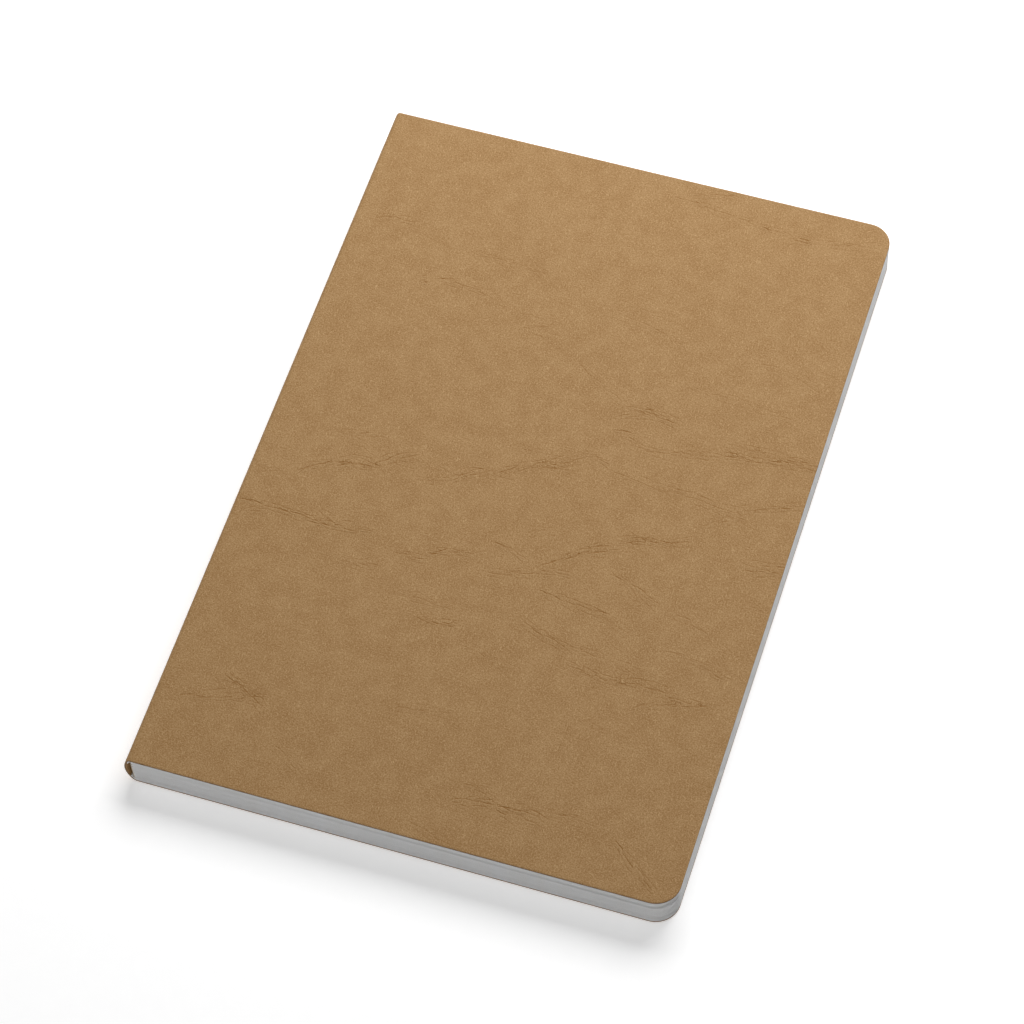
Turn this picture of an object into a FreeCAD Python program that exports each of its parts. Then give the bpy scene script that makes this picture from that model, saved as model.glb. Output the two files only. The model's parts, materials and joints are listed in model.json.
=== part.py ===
import FreeCAD, Part

import math
import os

from FreeCAD import Vector

# A section-sewn, soft-covered sketchbook, closed and lying on its back cover.
# The origin is the middle of the underside. +X runs from the spine to the fore-edge,
# +Y from the tail to the head, and +Z up from the table. All sizes are millimetres.

# Covers: one folded sheet of kraft card, cut flush with the pages.
cover_width = 140.0          # from the line where the spine turns under, to the fore-edge
cover_height = 210.0         # head to tail
corner_radius = 6.35         # the two fore-edge corners, through covers and pages together
card_thickness = 0.48

# Spine: the card bows out past the edge line and tucks in under the back.
spine_bulge = 0.7            # furthest that the spine stands out past the edge line
spine_tuck = 1.474           # how far inside the edge line the bow meets the underside
bulge_above_middle = 0.6     # height of the fullest point over half the book's thickness
front_crease_radius = 1.2    # outer bend between front cover and spine
back_crease_radius = 2.0     # outer bend between spine and back cover
crease_gap = 0.05            # slit between the spine strip and each cover

# Pages: folded sheets, nested in signatures and sewn through their folds.
signature_count = 8
sheets_per_signature = 4
paper_thickness = 0.12
endpaper_thickness = 0.13
leaf_gap = 0.02              # air between leaves that turn one by one
fold_gap = 0.08              # air between the two middle pages of a signature
front_fold_inset = 1.3       # edge line to the first signature's fold
back_fold_inset = 1.6        # edge line to the last signature's fold
sewn_fold_angle = 45.0       # fold that stays on the sewn half of the outer signatures
front_flyleaf_inset = 1.2    # edge line to the front flyleaf's hinge side
back_flyleaf_inset = 2.0     # edge line to the back flyleaf's hinge side

# Sewing thread, glue and lining on the backs of the signatures.
thread_width = 0.3           # the thread is pressed flat in the fold
thread_thickness = 0.06
station_count = 4            # holes along each fold
station_inset = 14.0         # head or tail to the nearest hole
slot_clearance = 0.02        # air round the thread in its holes
glue_thickness = 0.1
lining_thickness = 0.15
lining_inset = 8.0           # the lining stops short of head and tail

# Places worked out from the sizes above.
edge_x = -(cover_width - spine_bulge) / 2
fore_x = edge_x + cover_width
half_height = cover_height / 2
half_section = sheets_per_signature * paper_thickness + fold_gap / 2
turning_half = half_section + (sheets_per_signature - 1) * leaf_gap
signature_pitch = 2 * half_section
sewn_fold_rise = half_section * math.sin(math.radians(sewn_fold_angle))
endpaper_stack = card_thickness + 2 * endpaper_thickness + 2 * leaf_gap
last_fold_z = endpaper_stack + turning_half
first_fold_z = last_fold_z + (signature_count - 1) * signature_pitch
thickness = first_fold_z + turning_half + endpaper_stack

bulge_z = thickness / 2 + bulge_above_middle
bow_depth = spine_bulge + spine_tuck
spine_radius = (bulge_z ** 2 + bow_depth ** 2) / (2 * bow_depth)
spine_centre = (edge_x + spine_radius - spine_bulge, bulge_z)


def crease_centre(crease_radius, height):
    """Centre of the bend that is tangent to the bow and to a flat at its own radius away."""
    rise = height - spine_centre[1]
    run = math.sqrt((spine_radius - crease_radius) ** 2 - rise ** 2)
    return (spine_centre[0] - run, height)


front_crease = crease_centre(front_crease_radius, thickness - front_crease_radius)
back_crease = crease_centre(back_crease_radius, back_crease_radius)


def seen_from_spine(crease):
    """Direction from the bow's centre through a crease's centre, in degrees, 0 to 360."""
    angle = math.atan2(crease[1] - spine_centre[1], crease[0] - spine_centre[0])
    return math.degrees(angle) % 360


front_crease_angle = seen_from_spine(front_crease)
back_crease_angle = seen_from_spine(back_crease)


def at(x, z):
    """A point of the tail end's plane."""
    return Vector(x, -half_height, z)


def polar(centre, radius, degrees):
    """A point of a circle in the tail end's plane."""
    turn = math.radians(degrees)
    return at(centre[0] + radius * math.cos(turn), centre[1] + radius * math.sin(turn))


def line(start, end):
    return Part.LineSegment(start, end).toShape()


def arc(centre, radius, start, end):
    middle = polar(centre, radius, (start + end) / 2)
    return Part.Arc(polar(centre, radius, start), middle, polar(centre, radius, end)).toShape()


def head_to_tail(edges):
    """A solid of one section over the book's whole height."""
    return Part.Face(Part.Wire(edges)).extrude(Vector(0, cover_height, 0))


def leaf_outline(start_x, z):
    """A leaf's outline at one height: square at the spine, rounded at the fore-edge."""
    round_x = fore_x - corner_radius
    round_y = half_height - corner_radius
    inset = corner_radius * (1 - math.sqrt(0.5))
    tail_spine = Vector(start_x, -half_height, z)
    tail_end = Vector(round_x, -half_height, z)
    tail_side = Vector(fore_x, -round_y, z)
    head_side = Vector(fore_x, round_y, z)
    head_end = Vector(round_x, half_height, z)
    head_spine = Vector(start_x, half_height, z)
    tail_corner = Vector(fore_x - inset, inset - half_height, z)
    head_corner = Vector(fore_x - inset, half_height - inset, z)
    edges = [
        line(tail_spine, tail_end),
        Part.Arc(tail_end, tail_corner, tail_side).toShape(),
        line(tail_side, head_side),
        Part.Arc(head_side, head_corner, head_end).toShape(),
        line(head_end, head_spine),
        line(head_spine, tail_spine),
    ]
    return Part.Face(Part.Wire(edges))


def leaf(start_x, z, leaf_thickness):
    return leaf_outline(start_x, z).extrude(Vector(0, 0, leaf_thickness))


def round_corners(solid):
    """Trim a folded piece to the same outline as the leaves."""
    room = leaf_outline(edge_x - 2 * spine_bulge, -thickness)
    return solid.common(room.extrude(Vector(0, 0, 3 * thickness)))


def cover(crease, crease_radius, face_z, side, end_angle):
    """One cover: a flat panel with the bend to the spine along its inner edge."""
    flat_angle = 90 * side
    inner_radius = crease_radius - card_thickness
    inner_z = face_z - side * card_thickness
    edges = [
        line(at(fore_x, face_z), at(crease[0], face_z)),
        arc(crease, crease_radius, flat_angle, end_angle),
        line(polar(crease, crease_radius, end_angle), polar(crease, inner_radius, end_angle)),
        arc(crease, inner_radius, end_angle, flat_angle),
        line(at(crease[0], inner_z), at(fore_x, inner_z)),
        line(at(fore_x, inner_z), at(fore_x, face_z)),
    ]
    return round_corners(head_to_tail(edges))


def front_cover():
    return cover(front_crease, front_crease_radius, thickness, 1, front_crease_angle)


def back_cover():
    return cover(back_crease, back_crease_radius, 0, -1, back_crease_angle - 360)


def spine_strip():
    """The bowed strip of card between the two covers."""
    slit = math.degrees(crease_gap / spine_radius)
    top = front_crease_angle + slit
    bottom = back_crease_angle - slit
    inner_radius = spine_radius - card_thickness
    edges = [
        arc(spine_centre, spine_radius, top, bottom),
        line(polar(spine_centre, spine_radius, bottom), polar(spine_centre, inner_radius, bottom)),
        arc(spine_centre, inner_radius, bottom, top),
        line(polar(spine_centre, inner_radius, top), polar(spine_centre, spine_radius, top)),
    ]
    return head_to_tail(edges)


def front_endpapers():
    pastedown_z = thickness - card_thickness - endpaper_thickness
    flyleaf_z = pastedown_z - leaf_gap - endpaper_thickness
    flyleaf_x = edge_x + front_flyleaf_inset
    return {
        "front_pastedown": leaf(front_crease[0], pastedown_z, endpaper_thickness),
        "front_flyleaf": leaf(flyleaf_x, flyleaf_z, endpaper_thickness),
    }


def back_endpapers():
    pastedown_z = card_thickness
    flyleaf_z = pastedown_z + endpaper_thickness + leaf_gap
    flyleaf_x = edge_x + back_flyleaf_inset
    return {
        "back_pastedown": leaf(back_crease[0], pastedown_z, endpaper_thickness),
        "back_flyleaf": leaf(flyleaf_x, flyleaf_z, endpaper_thickness),
    }


def fold_tip_x(signature):
    """The outermost point of a signature's fold: the row of folds leans a little."""
    share = (signature - 1) / (signature_count - 1)
    return edge_x + front_fold_inset + share * (back_fold_inset - front_fold_inset)


def fold_centre(signature):
    """The line that a signature's sheets are folded round, and its leaves turn about."""
    z = first_fold_z - (signature - 1) * signature_pitch
    return (fold_tip_x(signature) + half_section, z)


def stations():
    """Places along the fold where the thread passes through it."""
    reach = half_height - station_inset
    step = 2 * reach / (station_count - 1)
    return [index * step - reach for index in range(station_count)]


def stitch_angle(signature):
    """Direction of the stitches through a fold: level, or through the sewn half only."""
    if signature == 1:
        return 270 - sewn_fold_angle / 2
    if signature == signature_count:
        return 90 + sewn_fold_angle / 2
    return 180


def stitch(signature, y, clearance):
    """The length of thread in one hole of a fold, or the hole when given a clearance."""
    centre = fold_centre(signature)
    width = thread_width + 2 * clearance
    height = thread_thickness + 2 * clearance
    corner = Vector(centre[0], y - width / 2, centre[1] - height / 2)
    bar = Part.makeBox(half_section + clearance, width, height, corner)
    middle = Vector(centre[0], y, centre[1])
    bar.rotate(middle, Vector(0, -1, 0), stitch_angle(signature))
    return bar


def sewing_thread(signature):
    """Thread along the inside of a fold, with a stitch out through each hole."""
    centre = fold_centre(signature)
    reach = stations()[-1] + thread_width / 2
    corner = Vector(centre[0], -reach, centre[1] - thread_thickness / 2)
    run = Part.makeBox(thread_width, 2 * reach, thread_thickness, corner)
    start = Vector(centre[0], -reach, centre[1])
    bead = Part.makeCylinder(thread_thickness / 2, 2 * reach, start, Vector(0, 1, 0))
    stitches = [stitch(signature, y, 0) for y in stations()]
    return run.multiFuse([bead] + stitches).removeSplitter()


def punch(sheet, signature):
    """Cut the sewing holes in a sheet's fold and round its corners."""
    holes = [stitch(signature, y, slot_clearance) for y in stations()]
    return round_corners(sheet).cut(holes)


def fold_radius(sheet):
    """Inner radius of a sheet's fold; sheet 1 is the outermost."""
    return fold_gap / 2 + (sheets_per_signature - sheet) * paper_thickness


def folded_sheet(signature, sheet):
    """Two leaves in one piece, folded round the signature's fold line."""
    centre = fold_centre(signature)
    x, z = centre
    inner = fold_radius(sheet)
    outer = inner + paper_thickness
    edges = [
        line(at(fore_x, z + outer), at(x, z + outer)),
        arc(centre, outer, 90, 270),
        line(at(x, z - outer), at(fore_x, z - outer)),
        line(at(fore_x, z - outer), at(fore_x, z - inner)),
        line(at(fore_x, z - inner), at(x, z - inner)),
        arc(centre, inner, 270, 90),
        line(at(x, z + inner), at(fore_x, z + inner)),
        line(at(fore_x, z + inner), at(fore_x, z + outer)),
    ]
    return punch(head_to_tail(edges), signature)


def sewn_half(signature, sheet, side):
    """The leaf of an outer signature's sheet that stays on the sewing, above or below it."""
    centre = fold_centre(signature)
    x, z = centre
    inner = fold_radius(sheet)
    outer = inner + paper_thickness
    flat_angle = 90 * side
    end_angle = (90 + sewn_fold_angle) * side
    edges = [
        line(at(fore_x, z + side * outer), at(x, z + side * outer)),
        arc(centre, outer, flat_angle, end_angle),
        line(polar(centre, outer, end_angle), polar(centre, inner, end_angle)),
        arc(centre, inner, end_angle, flat_angle),
        line(at(x, z + side * inner), at(fore_x, z + side * inner)),
        line(at(fore_x, z + side * inner), at(fore_x, z + side * outer)),
    ]
    return punch(head_to_tail(edges), signature)


def turning_leaf(signature, sheet, side):
    """The leaf of an outer signature's sheet that turns about the fold line."""
    x, z = fold_centre(signature)
    offset = fold_radius(sheet) + (sheets_per_signature - sheet) * leaf_gap
    low = z + offset if side > 0 else z - offset - paper_thickness
    return leaf(x, low, paper_thickness)


def tip_line_x(z):
    """The row of fold tips as a straight line from the last signature to the first."""
    share = (z - last_fold_z) / (first_fold_z - last_fold_z)
    return fold_tip_x(signature_count) + share * (fold_tip_x(1) - fold_tip_x(signature_count))


def spine_layer(outside, inside, height):
    """A leaning layer behind the folds, between two distances from the row of tips.

    It ends where the sewn halves of the outer signatures do, clear of the turning leaves."""
    bottom = last_fold_z + sewn_fold_rise
    top = first_fold_z - sewn_fold_rise
    corners = [
        Vector(tip_line_x(bottom) - outside, -height / 2, bottom),
        Vector(tip_line_x(bottom) + inside, -height / 2, bottom),
        Vector(tip_line_x(top) + inside, -height / 2, top),
        Vector(tip_line_x(top) - outside, -height / 2, top),
    ]
    face = Part.Face(Part.makePolygon(corners + corners[:1]))
    return face.extrude(Vector(0, height, 0))


def signature_room(signature):
    """The space that one closed signature takes up, with its rounded fold."""
    x, z = fold_centre(signature)
    corner = Vector(x, -half_height, z - half_section)
    body = Part.makeBox(fore_x - x, cover_height, 2 * half_section, corner)
    start = Vector(x, -half_height, z)
    return [body, Part.makeCylinder(half_section, cover_height, start, Vector(0, 1, 0))]


def spine_glue():
    """The glue film on the folds, deep enough in the grooves to hold the outermost stitches."""
    stitch_depth = half_section * (1 - math.sin(math.radians(sewn_fold_angle / 2)))
    rooms = []
    for signature in range(1, signature_count + 1):
        rooms += signature_room(signature)
    return spine_layer(glue_thickness, stitch_depth + thread_thickness, cover_height).cut(rooms)


def spine_lining():
    """The strip of woven lining stuck over the glue."""
    outside = glue_thickness + lining_thickness
    return spine_layer(outside, -glue_thickness, cover_height - 2 * lining_inset)


def outer_signature(signature, side):
    """First or last signature: each sheet as a sewn leaf and a turning leaf."""
    names = {1: "front", -1: "rear"}
    pieces = {}
    for sheet in range(1, sheets_per_signature + 1):
        turning = "signature_%d_%s_leaf_%d" % (signature, names[side], sheet)
        sewn = "signature_%d_%s_leaf_%d" % (signature, names[-side], sheet)
        pieces[turning] = turning_leaf(signature, sheet, side)
        pieces[sewn] = sewn_half(signature, sheet, -side)
    return pieces


def inner_signatures():
    pieces = {}
    for signature in range(2, signature_count):
        for sheet in range(1, sheets_per_signature + 1):
            name = "signature_%d_sheet_%d" % (signature, sheet)
            pieces[name] = folded_sheet(signature, sheet)
    return pieces


def sewing():
    pieces = {}
    for signature in range(1, signature_count + 1):
        pieces["sewing_thread_%d" % signature] = sewing_thread(signature)
    return pieces


def all_parts():
    """Every piece of the book by its node's name."""
    pieces = {
        "front_cover": front_cover(),
        "spine_strip": spine_strip(),
        "back_cover": back_cover(),
        "spine_glue": spine_glue(),
        "spine_lining": spine_lining(),
    }
    pieces.update(front_endpapers())
    pieces.update(back_endpapers())
    pieces.update(outer_signature(1, 1))
    pieces.update(inner_signatures())
    pieces.update(outer_signature(signature_count, -1))
    pieces.update(sewing())
    return pieces


os.makedirs("parts", exist_ok=True)
parts = all_parts()
for node, shape in parts.items():
    shape.exportStep("parts/" + node + ".step")
    print(node, len(shape.Solids), round(shape.Volume, 3), shape.isValid())
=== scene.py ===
import json
import math

import bpy
import numpy as np
from bpy.props import FloatProperty, FloatVectorProperty, IntProperty, PointerProperty
from bpy.types import Operator, Panel, PropertyGroup
from mathutils import Matrix, Vector


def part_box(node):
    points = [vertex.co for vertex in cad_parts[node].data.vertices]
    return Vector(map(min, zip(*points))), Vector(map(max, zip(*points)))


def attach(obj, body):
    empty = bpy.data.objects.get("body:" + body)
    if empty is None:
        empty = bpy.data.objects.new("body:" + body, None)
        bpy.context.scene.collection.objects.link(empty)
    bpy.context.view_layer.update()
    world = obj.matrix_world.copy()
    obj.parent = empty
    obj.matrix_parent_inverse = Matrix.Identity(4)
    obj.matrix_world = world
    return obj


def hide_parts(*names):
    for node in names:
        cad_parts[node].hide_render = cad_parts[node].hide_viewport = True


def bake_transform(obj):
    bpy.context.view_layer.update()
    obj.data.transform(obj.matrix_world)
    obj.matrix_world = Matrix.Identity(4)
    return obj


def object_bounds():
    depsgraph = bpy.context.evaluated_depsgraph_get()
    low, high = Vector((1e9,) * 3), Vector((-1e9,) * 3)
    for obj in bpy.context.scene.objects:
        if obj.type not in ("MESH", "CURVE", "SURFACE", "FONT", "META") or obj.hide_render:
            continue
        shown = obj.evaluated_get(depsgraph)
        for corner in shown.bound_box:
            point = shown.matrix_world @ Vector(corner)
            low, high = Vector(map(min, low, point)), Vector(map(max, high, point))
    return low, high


bl_info = {
    "name": "Sketchbook",
    "version": (1, 0, 0),
    "blender": (4, 5, 0),
    "location": "3D View > Sidebar > Sketchbook",
    "description": "A section-sewn sketchbook in a soft cover of kraft card",
    "category": "Object",
}

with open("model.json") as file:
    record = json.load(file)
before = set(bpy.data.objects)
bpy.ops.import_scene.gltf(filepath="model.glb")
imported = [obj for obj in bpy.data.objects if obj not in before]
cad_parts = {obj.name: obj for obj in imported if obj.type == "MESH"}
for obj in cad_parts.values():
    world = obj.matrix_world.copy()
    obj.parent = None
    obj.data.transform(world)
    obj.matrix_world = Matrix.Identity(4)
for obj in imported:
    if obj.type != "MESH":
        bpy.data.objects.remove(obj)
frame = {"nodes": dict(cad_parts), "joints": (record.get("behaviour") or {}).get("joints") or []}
cad_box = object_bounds()
joint_places = {joint["name"]: joint["pos_m"] for joint in frame["joints"]}

MM = 0.001


# ---------------------------------------------------------------- sizes and colours

def thickness_of(node):
    """Height of a flat node."""
    low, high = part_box(node)
    return high.z - low.z


def length(name, description, default):
    """A length that a user may change, in metres."""
    return FloatProperty(name=name, description=description, default=default, min=0,
                         precision=5, subtype="DISTANCE", unit="LENGTH")


def tint(name, description, default):
    """A colour that a user may change, in linear light."""
    return FloatVectorProperty(name=name, description=description, default=default, size=3,
                               min=0, max=1, subtype="COLOR")


class SketchbookSizes(PropertyGroup):
    """Sizes of the book's card, paper and folds."""

    cover_width: length("Cover width", "From the edge line at the spine to the fore-edge", 140 * MM)
    corner_radius: length("Corner radius", "Rounding of the two fore-edge corners", 6.35 * MM)
    card_thickness: length("Card thickness", "Thickness of the kraft card",
                           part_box("front_cover")[1].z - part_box("front_pastedown")[1].z)
    spine_bulge: length("Spine bulge", "How far the spine stands out past the edge line", 0.7 * MM)
    spine_tuck: length("Spine tuck", "How far inside the edge line the bow meets the underside", 1.474 * MM)
    bulge_above_middle: length("Bulge height", "Fullest point of the bow over half the thickness", 0.6 * MM)
    front_crease_radius: length("Front crease", "Outer bend between front cover and spine", 1.2 * MM)
    back_crease_radius: length("Back crease", "Outer bend between spine and back cover", 2.0 * MM)
    endpaper_thickness: length("Endpaper thickness", "Thickness of the endpapers",
                               thickness_of("front_pastedown"))
    paper_thickness: length("Paper thickness", "Thickness of the drawing paper",
                            thickness_of("signature_1_front_leaf_1"))
    leaf_gap: length("Leaf gap", "Air between neighbouring leaves",
                     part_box("front_pastedown")[0].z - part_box("front_flyleaf")[1].z)
    card_mesh: length("Card mesh", "Spacing of the points over the outside of the card", 0.66 * MM)
    edge_softness: length("Edge softness", "Width of the worn rounding on the card's edges", 0.16 * MM)
    trim_scatter: length("Trim scatter", "How unevenly the leaves are trimmed", 0.05 * MM)
    crease_height: length("Crease height", "Height of the deepest handling crease", 0.03 * MM)
    cover_lift: length("Cover lift", "How far the front cover's tail corner stands up", 0.23 * MM)
    block_sag: length("Block sag", "How far the pages under the first signature sink there", 0.25 * MM)
    block_slip: length("Block slip", "How far the topmost of those pages slip inwards there", 0.6 * MM)


class SketchbookColours(PropertyGroup):
    """Colours of the card, paper, thread, glue and lining."""

    card: tint("Card", "Kraft card", (0.440, 0.255, 0.104))
    # partly the cut card's own darker colour, partly painted shade: the edge is made much darker than the
    # card for the shade along it
    card_edge_and_shade: tint("Card edge", "Cut edge of the kraft card", (0.23, 0.15, 0.088))
    endpaper: tint("Endpaper", "White endpaper", (0.76, 0.765, 0.778))
    paper: tint("Paper", "Drawing paper", (0.735, 0.74, 0.752))
    thread: tint("Thread", "Waxed linen thread", (0.80, 0.77, 0.70))
    glue: tint("Glue", "Dried glue on the folds", (0.46, 0.38, 0.26))
    lining: tint("Lining", "Woven lining over the glue", (0.76, 0.74, 0.69))
    floor: tint("Floor", "Pale studio floor", (0.80, 0.80, 0.80))


# ---------------------------------------------------------------- finishes

class Signal:
    """A node's output. An expression on signals and numbers adds its Math nodes."""

    def __init__(self, nodes, socket):
        self.nodes = nodes
        self.socket = socket

    def math(self, operation, *values):
        return self.nodes.node("Math", {"operation": operation}, dict(enumerate(values)))

    def sine(self):
        return self.math("SINE", self)

    def __add__(self, other):
        return self.math("ADD", self, other)

    def __sub__(self, other):
        return self.math("SUBTRACT", self, other)

    def __mul__(self, other):
        return self.math("MULTIPLY", self, other)

    def __rsub__(self, other):
        return self.math("SUBTRACT", other, self)

    def __abs__(self):
        return self.math("ABSOLUTE", self)

    __radd__ = __add__
    __rmul__ = __mul__


class Nodes:
    """A node tree under construction."""

    def __init__(self, tree):
        self.tree = tree

    def node(self, kind, settings, sockets, output=0):
        """Add one node: its settings first, then the values or signals of its sockets."""
        made = self.tree.nodes.new("ShaderNode" + kind)
        for name, value in settings.items():
            setattr(made, name, value)
        for name, value in sockets.items():
            if isinstance(value, Signal):
                self.tree.links.new(value.socket, made.inputs[name])
            else:
                made.inputs[name].default_value = value
        return Signal(self, made.outputs[output])


class Finish(Nodes):
    """A material under construction."""

    def __init__(self, name):
        self.material = bpy.data.materials.new(name)
        self.material.use_nodes = True
        super().__init__(self.material.node_tree)
        self.tree.nodes.clear()

    def place(self):
        """Where a point lies on its flat sheet: across, up from the middle, and depth, in mm."""
        return self.node("Attribute", {"attribute_name": "sheet_mm"}, {}, "Vector")

    def stretched(self, place, across, up, deep):
        """The place with each direction multiplied: a large factor makes its pattern short there."""
        return self.node("VectorMath", {"operation": "MULTIPLY"}, {0: place, 1: (across, up, deep)})

    def turned(self, place, degrees):
        """The place turned within its sheet."""
        sockets = {"Vector": place, "Angle": math.radians(degrees)}
        return self.node("VectorRotate", {"rotation_type": "Z_AXIS"}, sockets)

    def noise(self, place, scale, detail=2.0, roughness=0.5, distortion=0.0):
        sockets = {"Vector": place, "Scale": scale, "Detail": detail, "Roughness": roughness,
                   "Distortion": distortion}
        return self.node("TexNoise", {}, sockets)

    def step(self, value, low, high):
        """0 below low, 1 above high, smooth between."""
        sockets = {"Value": value, "From Min": low, "From Max": high}
        return self.node("MapRange", {"interpolation_type": "SMOOTHSTEP"}, sockets)

    def mix(self, share, first, second):
        return self.node("Mix", {"data_type": "RGBA"}, {0: share, 6: first, 7: second}, 2)

    def split(self, vector, axis):
        return self.node("SeparateXYZ", {}, {"Vector": vector}, axis)

    def close(self, colour, roughness, height, relief, constants):
        """Join colour, roughness and a height map, whose full scale is relief metres."""
        bump = self.node("Bump", {}, {"Height": height, "Distance": relief, "Strength": 1.0})
        sockets = {"Base Color": colour, "Roughness": roughness, "Normal": bump}
        sockets.update(constants)
        shader = self.node("BsdfPrincipled", {}, sockets)
        end = self.tree.nodes.new("ShaderNodeOutputMaterial")
        self.tree.links.new(shader.socket, end.inputs["Surface"])
        return self.material


def shade(colour, factor):
    """A colour made lighter or darker, with full opacity."""
    return tuple(min(1.0, part * factor) for part in colour) + (1.0,)


def toned(colour, factor):
    """A colour made darker and warmer, or lighter and greyer, with full opacity."""
    red, green, blue = colour
    change = factor - 1
    return (red * factor, green * (1 + 1.4 * change), blue * (1 + 2.1 * change), 1.0)


def card_pulp(finish, place):
    """Kraft pulp: a felted ground from 0 to 1, and single light fibres lying three ways."""
    felt = finish.noise(place, 2.7, 3.0, 0.7)
    fibres = None
    for turn, fineness in ((24, 1.0), (-52, 1.15), (82, 0.9)):
        lying = finish.stretched(finish.turned(place, turn), 0.75 * fineness, 4.6 * fineness, 1.0)
        strand = finish.step(finish.noise(lying, 1.0, 2.0, 0.5, 0.35), 0.60, 0.72)
        fibres = strand if fibres is None else fibres + strand
    return felt, fibres


def crease_lines(finish, place):
    """Cracks along the handling creases, and the raised lip beside each, from 0 to about 1. Besides their
    relief, both paint light: shade along the crease and a highlight to one side of it.
    """
    side = finish.node("Attribute", {"attribute_name": "crease_side"}, {}, "Vector")
    depth = finish.node("Attribute", {"attribute_name": "crease_depth"}, {}, "Vector")
    ragged = (finish.noise(place, 2.2, 3.0, 0.6) - 0.5) * 0.5
    broken = 0.5 + finish.step(finish.noise(place, 0.5, 2.0, 0.5), 0.38, 0.56) * 0.5
    shaded_cracks = lit_lips = None
    for axis in range(CREASE_CHANNELS):
        away = finish.split(side, axis) + ragged
        strength = finish.split(depth, axis) * broken
        # the crease's mask, for its relief and for the painted shade along it
        shaded_crack = (1 - finish.step(abs(away), 0.03, 0.20)) * strength
        # the mask to one side of the crease, for its relief and for the painted highlight there
        lit_lip = (1 - finish.step(abs(away + 0.34), 0.05, 0.24)) * strength
        shaded_cracks = shaded_crack if shaded_cracks is None else shaded_cracks + shaded_crack
        lit_lips = lit_lip if lit_lips is None else lit_lips + lit_lip
    return shaded_cracks, lit_lips


def kraft_card(colours):
    """The cover's face: pulp, slow drifts of tone, and the handling creases, with painted shade along each
    crease and a painted highlight beside it.
    """
    finish = Finish("kraft_card")
    place = finish.place()
    felt, fibres = card_pulp(finish, place)
    cloud = finish.noise(place, 0.055, 3.0, 0.6)
    drift = finish.noise(place, 0.2, 1.0, 0.4)
    blotch = finish.noise(place, 0.95, 2.0, 0.6)
    shaded_cracks, lit_lips = crease_lines(finish, place)
    card = colours.card
    colour = finish.mix(finish.step(cloud, 0.3, 0.7), toned(card, 0.965), toned(card, 1.025))
    colour = finish.mix(finish.step(drift, 0.54, 0.30) * 0.52, colour, toned(card, 0.88))
    colour = finish.mix(finish.step(drift, 0.46, 0.70) * 0.52, colour, toned(card, 1.11))
    colour = finish.mix(finish.step(blotch, 0.50, 0.28) * 0.23, colour, toned(card, 0.82))
    colour = finish.mix(finish.step(blotch, 0.52, 0.72) * 0.21, colour, toned(card, 1.15))
    colour = finish.mix(finish.step(felt, 0.52, 0.34) * 0.86, colour, toned(card, 0.74))
    colour = finish.mix(finish.step(felt, 0.48, 0.66) * 0.88, colour, toned(card, 1.26))
    colour = finish.mix(fibres * 0.62, colour, toned(card, 1.5))
    # painted highlight: a lighter line to one side of each crease, as if lit
    colour = finish.mix(lit_lips * 0.6, colour, toned(card, 1.22))
    # painted shade: the crease itself darkened, as if shadowed inside
    colour = finish.mix(shaded_cracks, colour, toned(card, 0.62))
    height = felt * 0.5 + fibres * 0.12 + lit_lips * 0.3 - shaded_cracks * 0.6
    roughness = 0.72 + felt * 0.16
    return finish.close(colour, roughness, height, 0.06 * MM, {"Specular IOR Level": 0.28})


def cut_card(colours):
    """The card's cut edge, where its pulp shows in layers, in a colour that is partly the cut card's own and
    partly painted shade.
    """
    finish = Finish("cut_card")
    place = finish.place()
    layers = finish.noise(finish.stretched(place, 0.5, 0.5, 14.0), 1.0, 4.0, 0.6)
    fuzz = finish.noise(place, 3.5, 4.0, 0.7)
    # the edge colour here carries painted shade as well as the cut card's own tone
    colour = finish.mix(finish.step(layers, 0.35, 0.65), toned(colours.card_edge_and_shade, 0.86),
                        shade(colours.card_edge_and_shade, 1.12))
    colour = finish.mix(finish.step(fuzz, 0.55, 0.72) * 0.5, colour, shade(colours.card_edge_and_shade, 1.4))
    return finish.close(colour, 0.86 + fuzz * 0.1, layers * 0.6 + fuzz * 0.4, 0.04 * MM,
                        {"Specular IOR Level": 0.2})


def paper(name, tone):
    """A sheet's face: close felt grain, faint cloudiness and no gloss."""
    finish = Finish(name)
    place = finish.place()
    tooth = finish.noise(place, 2.6, 4.0, 0.62)
    cloud = finish.noise(place, 0.16, 3.0, 0.5)
    lying = finish.stretched(finish.turned(place, 30), 0.6, 3.0, 1.0)
    fibre = finish.step(finish.noise(lying, 1.4), 0.62, 0.74)
    colour = finish.mix(finish.step(cloud, 0.35, 0.65), shade(tone, 0.985), shade(tone, 1.01))
    colour = finish.mix(finish.step(tooth, 0.5, 0.3) * 0.5, colour, toned(tone, 0.965))
    colour = finish.mix(fibre * 0.25, colour, shade(tone, 1.06))
    return finish.close(colour, 0.84 + tooth * 0.12, tooth, 0.02 * MM, {"Specular IOR Level": 0.2})


def paper_edge(name, tone):
    """A sheet's trimmed edge: rougher and a little darker, with streaks from the blade."""
    finish = Finish(name)
    place = finish.place()
    streaks = finish.noise(finish.stretched(place, 0.25, 0.25, 9.0), 1.0, 3.0, 0.6)
    nicks = finish.noise(place, 1.2, 4.0, 0.7)
    colour = finish.mix(finish.step(streaks, 0.3, 0.7), toned(tone, 0.95), shade(tone, 1.0))
    colour = finish.mix(finish.step(nicks, 0.56, 0.75) * 0.35, colour, toned(tone, 0.84))
    return finish.close(colour, 0.9 + nicks * 0.08, streaks * 0.5 + nicks * 0.5, 0.03 * MM,
                        {"Specular IOR Level": 0.15})


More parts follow.
